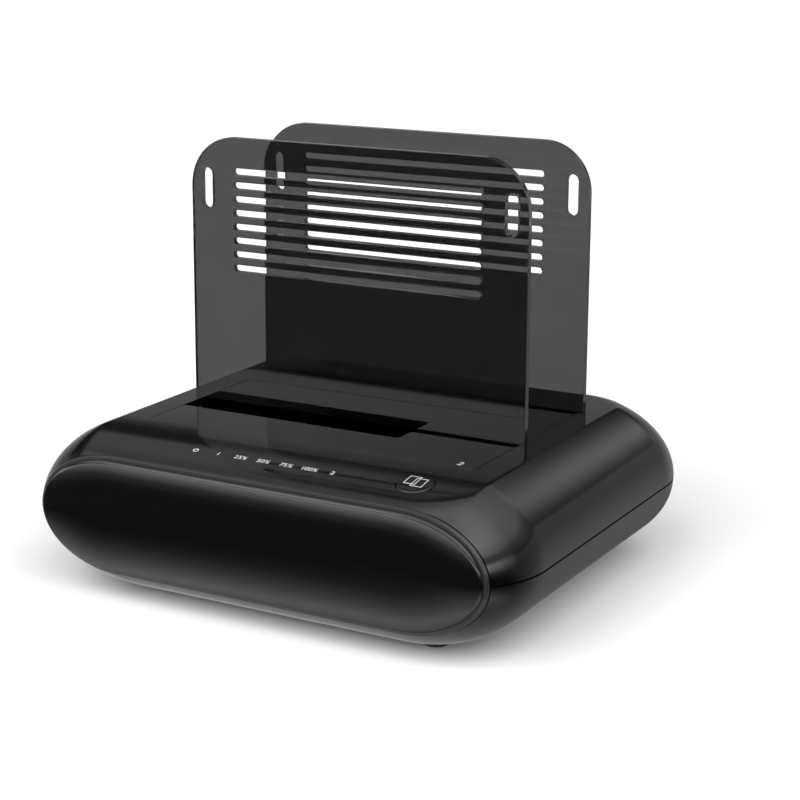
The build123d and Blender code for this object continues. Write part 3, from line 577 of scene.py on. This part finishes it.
reach_in = SEAM_B - BEZEL_INSET
steps = np.concatenate([RIM_ROUND * (1 - np.cos(np.linspace(0, math.pi / 2, 9))),
                        np.linspace(RIM_ROUND, reach_in, 34)[1:]])
rim = RIM_RISE * np.sqrt(1 - np.clip(1 - steps / RIM_ROUND, 0, 1) ** 2)
bulge = rim + CROWN * (1 - (1 - steps / reach_in) ** 3)
front = ring_front - GROOVE
scale = (RIM_RISE + CROWN - GROOVE) / (RIM_RISE + CROWN)
bezel_foot = BEZEL_INSET + GROOVE_DEPTH
face_profile = [(bezel_foot, ring_front - 0.02), (bezel_foot, front), (BEZEL_INSET, front)]
face_profile += [(BEZEL_INSET + s, front - d * scale) for s, d in zip(steps[1:], bulge[1:])]
points, faces = along_seam([(inset, inset, inset, y) for inset, y in face_profile], False)
back = list(range(len(seam_loop(0, 0, 0)[0])))
show("bezel_face", solid_mesh("bezel_face", points, [*faces.tolist(), back], 40, True),
     gloss_black, "housing", ["front_bezel"])


# Guard plates. Two laser-cut sheets of smoked acrylic, 2 mm thick with polished edges, stand in
# slits behind the bays; they hold a drive upright and have finger slots and cooling slots.
GUARD_HALF = 53.7
GUARD_TOP = 123.6
GUARD_FOOT = 27.5
GUARD_CORNER = 14.5
EDGE_POLISH = 0.1
SLOT_COUNT = 8
SLOT_TOP = 113.85
SLOT_PITCH = 4.0
SLOT_HALF_LENGTH = 39.7
SLOT_HALF_HEIGHT = 1.0
FINGER_X = 48.5
FINGER_Z = 108.55
FINGER_HALF_WIDTH = 1.85
FINGER_HALF_HEIGHT = 5.9
SMOKE, SMOKE_THIN = (0.066, 0.066, 0.067), (0.072, 0.072, 0.073)


def stadium(x, y, half_x, half_y, arc=25):
    """Outline of a slot: two half-circles of the lesser half size, joined by straight sides."""
    radius = min(half_x, half_y)
    turn = np.linspace(-math.pi / 2, math.pi / 2, arc)
    cx, cy = half_x - radius, half_y - radius
    if cx > cy:
        right = np.stack([cx + radius * np.cos(turn), radius * np.sin(turn)], -1)
        loop = np.concatenate([right, -right])
    else:
        top = np.stack([-radius * np.sin(turn), cy + radius * np.cos(turn)], -1)
        loop = np.concatenate([top, -top])
    return loop + [x, y]


def mesh_of(curve):
    """The mesh that a curve or a text makes."""
    holder = put(curve.name, curve)
    graph = bpy.context.evaluated_depsgraph_get()
    mesh = bpy.data.meshes.new_from_object(holder.evaluated_get(graph))
    bpy.data.objects.remove(holder)
    return mesh


def plate(name, loops, thick, polish):
    """Flat outline with holes, filled and extruded, its edges rounded by the polish depth."""
    curve = bpy.data.curves.new(name, "CURVE")
    curve.dimensions = "2D"
    curve.fill_mode = "BOTH"
    curve.extrude = (thick / 2 - polish) * MM
    curve.bevel_depth = polish * MM
    curve.bevel_resolution = 1
    curve.offset = -polish * MM
    for loop in loops:
        spline = curve.splines.new("POLY")
        spline.points.add(len(loop) - 1)
        flat = np.concatenate([loop * MM, np.zeros((len(loop), 1)), np.ones((len(loop), 1))], 1)
        spline.points.foreach_set("co", flat.ravel())
        spline.use_cyclic_u = True
    return mesh_of(curve)


smoke = Finish("smoked_acrylic")
smoke.surface(Base_Color=smoke.mix(smoke.noise(22.0, 2.0), SMOKE, SMOKE_THIN),
              Roughness=smoke.noise(60.0, 2.0) * 0.012,
              Normal=smoke.bump(smoke.noise(9.0, 1.0), 0.00002),
              IOR=1.49, Transmission_Weight=1.0)
corner = np.linspace(0, math.pi / 2, 22)
arc = np.stack([GUARD_HALF - GUARD_CORNER + GUARD_CORNER * np.cos(corner),
                GUARD_TOP - GUARD_CORNER + GUARD_CORNER * np.sin(corner)], -1)
outline = np.concatenate([[(GUARD_HALF, GUARD_FOOT)], arc, arc[::-1] * [-1, 1],
                          [(-GUARD_HALF, GUARD_FOOT)]])
loops = [outline]
loops += [stadium(0, SLOT_TOP - SLOT_PITCH * i, SLOT_HALF_LENGTH, SLOT_HALF_HEIGHT)
          for i in range(SLOT_COUNT)]
loops += [stadium(side * FINGER_X, FINGER_Z, FINGER_HALF_WIDTH, FINGER_HALF_HEIGHT)
          for side in (-1, 1)]
for bay, end in enumerate(("front", "rear")):
    mesh = plate("guard_plate_" + end, loops, GUARD_THICK, EDGE_POLISH)
    middle = (GUARD_FACE_Y + GUARD_THICK / 2 + bay * BAY_PITCH) * MM
    mesh.transform(Matrix(((1, 0, 0, 0), (0, 0, -1, middle), (0, 1, 0, 0), (0, 0, 0, 1))))
    weld(mesh, 12, True)
    show("guard_plate_" + end, mesh, smoke.material, "guard_" + end,
         ["drive_guard_" + end])


# Copy button. A gloss black cap that follows the slope of the strip and stands just proud of it,
# printed with the outline sign for a copy: two overlapping squares.
BUTTON_RADIUS = 5.0
BUTTON_DEEP = 5.0
BUTTON_PROUD = 0.3
CAP_ROUND = 0.35
turn = np.linspace(0, math.pi / 2, 6)
radii = np.concatenate([[BUTTON_RADIUS] * 2, BUTTON_RADIUS - CAP_ROUND * (1 - np.cos(turn))[1:],
                        np.linspace(BUTTON_RADIUS - CAP_ROUND, 0.02, 9)[1:]])
falls = np.concatenate([[BUTTON_DEEP, CAP_ROUND], (CAP_ROUND * (1 - np.sin(turn)))[1:],
                        np.zeros(8)])
ring = np.linspace(0, 2 * math.pi, 96, endpoint=False)
x = BUTTON_X + radii[:, None] * np.cos(ring)
y = BUTTON_Y + radii[:, None] * np.sin(ring)
z = deck(y) + BUTTON_PROUD - falls[:, None]
points = np.stack([x, y, z], -1).reshape(-1, 3)
index = np.arange(x.size).reshape(x.shape)
faces = quads(index, wrap=True).reshape(-1, 4).tolist()
faces += [index[0][::-1].tolist(), index[-1].tolist()]
show("copy_button", solid_mesh("copy_button", points, faces, 40, True), gloss_black,
     "clone_button", ["clone_button"])


# Printed marks. White pad-printed signs on the strip, the button and the doors: plain numbers and
# simple outlines, a few hundredths of a millimetre thick.
INK = 0.03
INK_LIFT = 0.012
SIGN_STROKE = 0.17
SIGN_SHIFT = (-0.25, 0.75)
SHEET_HALF_WIDTH = 1.6
SHEET_HALF_HEIGHT = 2.15
POWER_STROKE = 0.24
POWER_RADIUS = 0.72
LIGHT_MARK_SIZE = 2.4
BAY_MARK_SIZE = 3.6
BAY_MARK = (46.0, -27.7)
INK_THIN, INK_FULL = (0.62, 0.62, 0.62), (0.8, 0.8, 0.8)
white_ink = Finish("white_ink")
white_ink.surface(Base_Color=white_ink.mix(white_ink.noise(3000.0, 2.0), INK_THIN, INK_FULL),
                  Roughness=0.45 + white_ink.noise(2000.0) * 0.1)


def outline_sign(loops, stroke):
    """Stroke of even width along each closed loop or open path, as flat quads in the plan: every
    point moves half the width both ways along its mitre."""
    points, faces = [], []
    for path, closed in loops:
        path = np.array(path, float)
        ahead = np.roll(path, -1, axis=0) - path
        behind = path - np.roll(path, 1, axis=0)
        if not closed:
            ahead[-1], behind[0] = behind[-1], ahead[0]
        ahead /= np.linalg.norm(ahead, axis=1, keepdims=True)
        behind /= np.linalg.norm(behind, axis=1, keepdims=True)
        middle = ahead + behind
        middle /= np.linalg.norm(middle, axis=1, keepdims=True)
        normal = np.stack([-middle[:, 1], middle[:, 0]], -1)
        normal /= np.sum(normal * np.stack([-ahead[:, 1], ahead[:, 0]], -1), 1, keepdims=True)
        first = sum(len(p) for p in points)
        points.append(np.concatenate([path - normal * stroke / 2, path + normal * stroke / 2]))
        count = len(path)
        inner, outer = first + np.arange(count), first + count + np.arange(count)
        last = count if closed else count - 1
        for i in range(last):
            j = (i + 1) % count
            faces.append([inner[i], inner[j], outer[j], outer[i]])
    return np.concatenate(points), faces


def print_on(name, plan, faces, height_of, body):
    """Lays a flat sign on the surface below it and gives it the thickness of ink."""
    plan = np.asarray(plan, float)
    z = height_of(plan[:, 0], plan[:, 1]) + INK_LIFT
    count = len(plan)
    low = np.stack([plan[:, 0], plan[:, 1], z], -1)
    edges = dict.fromkeys(pair for face in faces for pair in zip(face, [*face[1:], face[0]]))
    rim = [(a, b) for a, b in edges if (b, a) not in edges]
    sides = [[a, b, b + count, a + count] for a, b in rim]
    every = [[i + count for i in f] for f in faces] + [list(f)[::-1] for f in faces] + sides
    mesh = solid_mesh(name, np.concatenate([low, low + [0, 0, INK]]), every, 40, True)
    return show(name, mesh, white_ink.material, body)


def written(text, size, x, y):
    """Plan points and faces of a short number in the built-in face, centred on x and y."""
    curve = bpy.data.curves.new("number", "FONT")
    curve.body = text
    curve.size = size
    curve.align_x = "CENTER"
    curve.align_y = "CENTER"
    curve.resolution_u = 3
    curve.offset = -0.008 * size
    mesh = mesh_of(curve)
    place = np.zeros(len(mesh.vertices) * 3)
    mesh.vertices.foreach_get("co", place)
    return place.reshape(-1, 3)[:, :2] + [x, y], [list(p.vertices) for p in mesh.polygons]


def sheet(x, y):
    """Outline of a sheet of paper, its sides in short steps that can follow a curved surface."""
    corner = np.array([(-1, -1), (1, -1), (1, 1), (-1, 1)]) * (SHEET_HALF_WIDTH, SHEET_HALF_HEIGHT)
    share = np.linspace(0, 1, 8, endpoint=False)[:, None]
    sides = [a * (1 - share) + b * share for a, b in zip(corner, np.roll(corner, -1, axis=0))]
    return np.concatenate(sides) + [x, y]


def on_button(x, y):
    return deck(y) + BUTTON_PROUD


def on_door(x, y):
    return np.full_like(x, TOP_Z)


for side, x, y in (("left", -1.15, 0.4), ("right", 1.15, -0.4)):
    plan, faces = outline_sign([(sheet(x, y), True)], SIGN_STROKE)
    middle = np.add((BUTTON_X, BUTTON_Y), SIGN_SHIFT)
    print_on("copy_sign_" + side, plan + middle, faces, on_button, "clone_button")
mark_y = CONTROL_Y - 2.3
marks = ["", "1", "25%", "50%", "75%", "100%", "2"]
for i, (x, text) in enumerate(zip(LIGHT_X, marks)):
    if text:
        plan, faces = written(text, LIGHT_MARK_SIZE, x + 0.5, mark_y)
    else:
        bend = np.radians(np.linspace(125, 415, 22))
        bow = np.stack([np.cos(bend), np.sin(bend)], -1) * POWER_RADIUS
        plan, faces = outline_sign([(bow, False), ([(0, 0.15), (0, 1.05)], False)], POWER_STROKE)
        plan = plan + [x + 0.3, mark_y]
    print_on("light_mark_" + str(i + 1), plan, faces, top_height, "housing")
for bay, (text, end) in enumerate((("2", "front"), ("1", "rear"))):
    plan, faces = written(text, BAY_MARK_SIZE, BAY_MARK[0], BAY_MARK[1] + bay * (BAY_PITCH - 1.8))
    print_on("bay_mark_" + end, plan, faces, on_door, "door_" + end)


# Bay doors. Sprung gloss black flaps whose corner is cut away for small drives; the CAD solids
# have their true shape, so only their finish is made here.
def dress(material, *nodes):
    for node in nodes:
        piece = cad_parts[node]
        piece.data.materials.clear()
        piece.data.materials.append(material)


dress(gloss_plastic("gloss_black_door", GLOSS_BLACK, 0.03, 0.02), "bay_door_front",
      "bay_door_rear")


# Inner frame, rear panel and switch. Fine-textured black ABS, moulded without gloss, so that the
# wells under the doors stay dark.
matt = Finish("textured_black_abs")
grain = matt.noise(2600.0, 3.0, 0.6)
matt.surface(Base_Color=matt.mix(grain, (0.004, 0.004, 0.0042), (0.008, 0.008, 0.0082)),
             Roughness=0.5 + grain * 0.2, Normal=matt.bump(grain, 0.00003))
dress(matt.material, "bay_frame", "rear_panel", "power_switch_frame")
dress(gloss_plastic("rocker_black", (0.008, 0.008, 0.008), 0.2, 0.08), "power_switch_rocker")


# Steel parts. Hinge pins, springs, screws and the computer socket's shield: drawn or pressed
# steel with fine drawing lines.
steel = Finish("bright_steel")
lay = steel.node("ShaderNodeMapping", {}, {"Vector": steel.place(), "Scale": (40.0, 900.0, 900.0)})
lines_in_steel = steel.noise(3.0, 3.0, 0.6, lay)
steel.surface(Base_Color=steel.mix(lines_in_steel, (0.42, 0.42, 0.43), (0.6, 0.6, 0.6)),
              Roughness=0.22 + lines_in_steel * 0.16, Metallic=1.0,
              Normal=steel.bump(lines_in_steel, 0.000008))
dress(steel.material, "door_pin_front", "door_pin_rear", "door_spring_front", "door_spring_rear",
      "case_screws", "frame_screws", "board_screws", "control_screws", "computer_port")


# Circuit boards and what is soldered on them. Dark green solder mask over copper tracks, black
# moulded chips and aluminium-can capacitors.
mask = Finish("solder_mask")
weave = mask.noise(4000.0, 1.0)
tracks = mask.node("ShaderNodeTexBrick", {"offset": 0.5},
                   {"Vector": mask.place(), "Scale": 260.0, "Mortar Size": 0.02}, output=1)
mask.surface(Base_Color=mask.mix(tracks * 0.6, (0.004, 0.022, 0.012), (0.012, 0.05, 0.026)),
             Roughness=0.32 + weave * 0.12, Normal=mask.bump(tracks, 0.00002))
dress(mask.material, "main_board", "control_board")
chip = Finish("chip_resin")
speck = chip.noise(7000.0, 2.0)
chip.surface(Base_Color=chip.mix(speck, (0.010, 0.010, 0.011), (0.022, 0.022, 0.022)),
             Roughness=0.55 + speck * 0.15, Normal=chip.bump(speck, 0.00001))
dress(chip.material, "board_chips", "push_switch")
can = Finish("capacitor_can")
height = can.node("ShaderNodeSeparateXYZ", {}, {0: can.place()}, output=2)
sleeve = height > 0.0160
brushed = can.noise(1500.0, 2.0)
can.surface(Base_Color=can.mix(sleeve, (0.012, 0.014, 0.03), (0.62, 0.62, 0.62)), Metallic=sleeve,
            Roughness=0.3 + brushed * 0.1, Normal=can.bump(brushed, 0.000004))
dress(can.material, "board_capacitors")


# Connectors. Black glass-filled nylon bodies, gold-flashed contacts and the coloured tongue of
# the computer socket.
nylon = Finish("connector_nylon")
fleck = nylon.noise(3500.0, 2.0)
nylon.surface(Base_Color=nylon.mix(fleck, (0.006, 0.006, 0.006), (0.014, 0.014, 0.014)),
              Roughness=0.48 + fleck * 0.14, Normal=nylon.bump(fleck, 0.00001))
dress(nylon.material, "drive_connector_front", "drive_connector_rear", "power_inlet",
      "push_switch_plunger")
gold = Finish("contact_gold")
wear = gold.noise(2500.0, 2.0)
gold.surface(Base_Color=gold.mix(wear, (0.72, 0.46, 0.16), (0.86, 0.62, 0.28)), Metallic=1.0,
             Roughness=0.22 + wear * 0.1)
dress(gold.material, "connector_contacts_front", "connector_contacts_rear", "power_inlet_pin")
tongue = Finish("socket_tongue")
shade = tongue.noise(900.0, 2.0)
tongue.surface(Base_Color=tongue.mix(shade, (0.010, 0.06, 0.30), (0.014, 0.08, 0.38)),
               Roughness=0.4 + shade * 0.1)
dress(tongue.material, "computer_port_tongue")


# Lights and feet. Smoke-tinted light pipes over small emitters, and black rubber feet in the floor.
clear = Finish("light_pipe_clear")
cloud = clear.noise(700.0, 2.0)
clear.surface(Base_Color=clear.mix(cloud, (0.004, 0.004, 0.004), (0.009, 0.009, 0.01)),
              Roughness=0.12 + cloud * 0.12, IOR=1.49)
dress(clear.material, "light_pipes")
emitter = Finish("emitter_resin")
glow = emitter.noise(2200.0, 1.0)
emitter.surface(Base_Color=emitter.mix(glow, (0.6, 0.55, 0.3), (0.75, 0.72, 0.5)),
                Roughness=0.3 + glow * 0.1)
dress(emitter.material, "led_emitters")
rubber = Finish("foot_rubber")
pores = rubber.noise(3000.0, 3.0)
rubber.surface(Base_Color=rubber.mix(pores, (0.010, 0.010, 0.010), (0.02, 0.02, 0.02)),
               Roughness=0.75 + pores * 0.15, Normal=rubber.bump(pores, 0.00003))
dress(rubber.material, "foot_front_left", "foot_front_right", "foot_rear_left", "foot_rear_right")


# Studio. A pale floor that keeps the shadow, a white room, two large soft lamps from the front left
# and from the right, and a far shell of soft panels that only mirrors see.
floor_finish = Finish("studio_floor")
floor_finish.surface(Base_Color=floor_finish.mix(floor_finish.noise(3.0), (0.92, 0.92, 0.92),
                                                 (0.93, 0.93, 0.93)),
                     Roughness=0.9, Specular_IOR_Level=0.0)
floor_mesh = bpy.data.meshes.new("studio_floor")
floor_mesh.from_pydata([(-6, -6, 0), (6, -6, 0), (6, 6, 0), (-6, 6, 0)], [], [(0, 1, 2, 3)])
floor_mesh.materials.append(floor_finish.material)
floor = put("studio_floor", floor_mesh)
floor.visible_glossy = False

# Each panel: its heading in degrees from straight behind towards the right, its height and its
# spread in degrees, and its light; a negative light is a dark cloth.
PANELS = ((13, 26, 9, 0.75), (47, 40, 20, 0.45), (92, 62, 30, 1.6), (20, 52, 18, 0.35),
          (-73, 72, 20, 0.4), (-142, 35, 8, 3.6), (-150, 15, 6, 0.4), (0, -29, 21, -0.26),
          (80, -20, 24, -0.4), (-14, -22, 12, -0.22))
BRIGHTEST = 4
room = Finish("panel_light", "ShaderNodeEmission")
toward = room.node("ShaderNodeVectorMath", {"operation": "NORMALIZE"}, {0: room.place()})
depth = room.node("ShaderNodeSeparateXYZ", {}, {0: toward}, output=1)
height = room.node("ShaderNodeSeparateXYZ", {}, {0: toward}, output=2)


def by_height(*stops):
    """Light as it changes with height, from stops of degrees above the floor and light."""
    places = [((math.sin(math.radians(e)) + 1) / 2, amount / BRIGHTEST) for e, amount in stops]
    return room.node("ShaderNodeValToRGB", {"stops": places}, {0: (height + 1) / 2}) * BRIGHTEST


ahead = by_height((-90, 0.5), (-64, 0.45), (-50, 1.1), (-41, 1.6), (-35, 1.1), (-29, 0.62),
                  (-23, 0.22), (-18.5, 0.06), (-14, 0.09), (-8, 0.08), (-3, 0.12), (3, 0.45),
                  (8.5, 1.8), (12.5, 2.6), (16, 3.3), (19, 2.0), (22, 0.6), (28, 0.5), (32, 1.6),
                  (46, 2.4), (90, 1.2))
astern = by_height((-90, 0.5), (-15, 0.55), (-4, 0.5), (6, 0.36), (12, 0.31), (15.4, 0.28),
                   (16.8, 0.1), (18, 0.045), (27, 0.045), (30, 0.09), (33.5, 0.38), (38, 0.44),
                   (50, 0.36), (68, 0.65), (90, 1.2))
back_share = (depth * 1.6 + 0.5).clipped()
light = ahead * (1 - back_share) + astern * back_share
for heading, tall, spread, amount in PANELS:
    a, e, w = (math.radians(v) for v in (heading, tall, spread))
    aim = (math.sin(a) * math.cos(e), math.cos(a) * math.cos(e), math.sin(e))
    along = room.node("ShaderNodeVectorMath", {"operation": "DOT_PRODUCT"}, {0: toward, 1: aim},
                      output="Value")
    light = light + math.e ** ((along - 1) * (2 / w ** 2)) * amount
room.surface(Color=(1.0, 1.0, 1.0), Strength=light.math("MAXIMUM", light, 0.01))
SHELL_RADIUS = 5.0
SHELL_SIDES = 64
turn = np.linspace(0, 2 * math.pi, SHELL_SIDES, endpoint=False)
tilt = np.linspace(-math.pi / 2 + 0.001, math.pi / 2 - 0.001, 33)[:, None]
ball = np.stack([np.cos(tilt) * np.cos(turn), np.cos(tilt) * np.sin(turn),
                 np.sin(tilt) + 0 * turn], -1)
index = np.arange(ball.shape[0] * SHELL_SIDES).reshape(-1, SHELL_SIDES)
faces = quads(index, wrap=True, turned=True).reshape(-1, 4)
shell_mesh = bpy.data.meshes.new("panel_shell")
shell_mesh.from_pydata((ball.reshape(-1, 3) * SHELL_RADIUS).tolist(), [], faces.tolist())
shell_mesh.materials.append(room.material)
panel_shell = put("panel_shell", shell_mesh)
panel_shell.visible_camera = False
panel_shell.visible_diffuse = False
panel_shell.visible_transmission = False
panel_shell.visible_volume_scatter = False
panel_shell.visible_shadow = False

world = bpy.data.worlds.new("white_room")
world.use_nodes = True
bpy.context.scene.world = world
AMBIENT = 0.25
backdrop = world.node_tree.nodes["Background"]
path = world.node_tree.nodes.new("ShaderNodeLightPath")
seen, seen_more, level = (world.node_tree.nodes.new("ShaderNodeMath") for _ in range(3))
seen.operation = seen_more.operation = "MAXIMUM"
level.operation = "MULTIPLY_ADD"
wire = world.node_tree.links.new
wire(path.outputs["Is Camera Ray"], seen.inputs[0])
wire(path.outputs["Is Glossy Ray"], seen.inputs[1])
wire(seen.outputs[0], seen_more.inputs[0])
wire(path.outputs["Is Transmission Ray"], seen_more.inputs[1])
wire(seen_more.outputs[0], level.inputs[0])
level.inputs[1].default_value = 1 - AMBIENT
level.inputs[2].default_value = AMBIENT
wire(level.outputs[0], backdrop.inputs["Strength"])
backdrop.inputs["Color"].default_value = (1.0, 1.0, 1.0, 1.0)

for name, heading, tall, softness, power in (("window_light", -165, 38, 60, 2.9),
                                             ("side_light", 115, 42, 60, 2.3)):
    lamp_data = bpy.data.lights.new(name, "SUN")
    lamp_data.energy = power
    lamp_data.angle = math.radians(softness)
    lamp = put(name, lamp_data)
    a, e = math.radians(heading), math.radians(tall)
    lamp.rotation_mode = "QUATERNION"
    lamp.rotation_quaternion = Vector((-math.sin(a) * math.cos(e), -math.cos(a) * math.cos(e),
                                       -math.sin(e))).to_track_quat("-Z", "Y")
    lamp.visible_glossy = False

camera_data = bpy.data.cameras.new("photo_camera")
camera_data.sensor_width = 36.0
camera_data.lens = 89.736
camera_data.shift_x = 0.06905
camera_data.shift_y = -0.05438
camera_data.clip_start = 0.02
camera_data.clip_end = 30.0
camera = put("photo_camera", camera_data)
right = (0.86426, 0.50304, -0.00089)
up = (-0.11723, 0.20313, 0.97211)
back = (0.48919, -0.84005, 0.23453)
place = (0.27302, -0.47818, 0.19609)
camera.matrix_world = Matrix((*zip(right, up, back, place), (0, 0, 0, 1)))
bpy.context.scene.camera = camera
bpy.context.scene.view_settings.view_transform = "Standard"
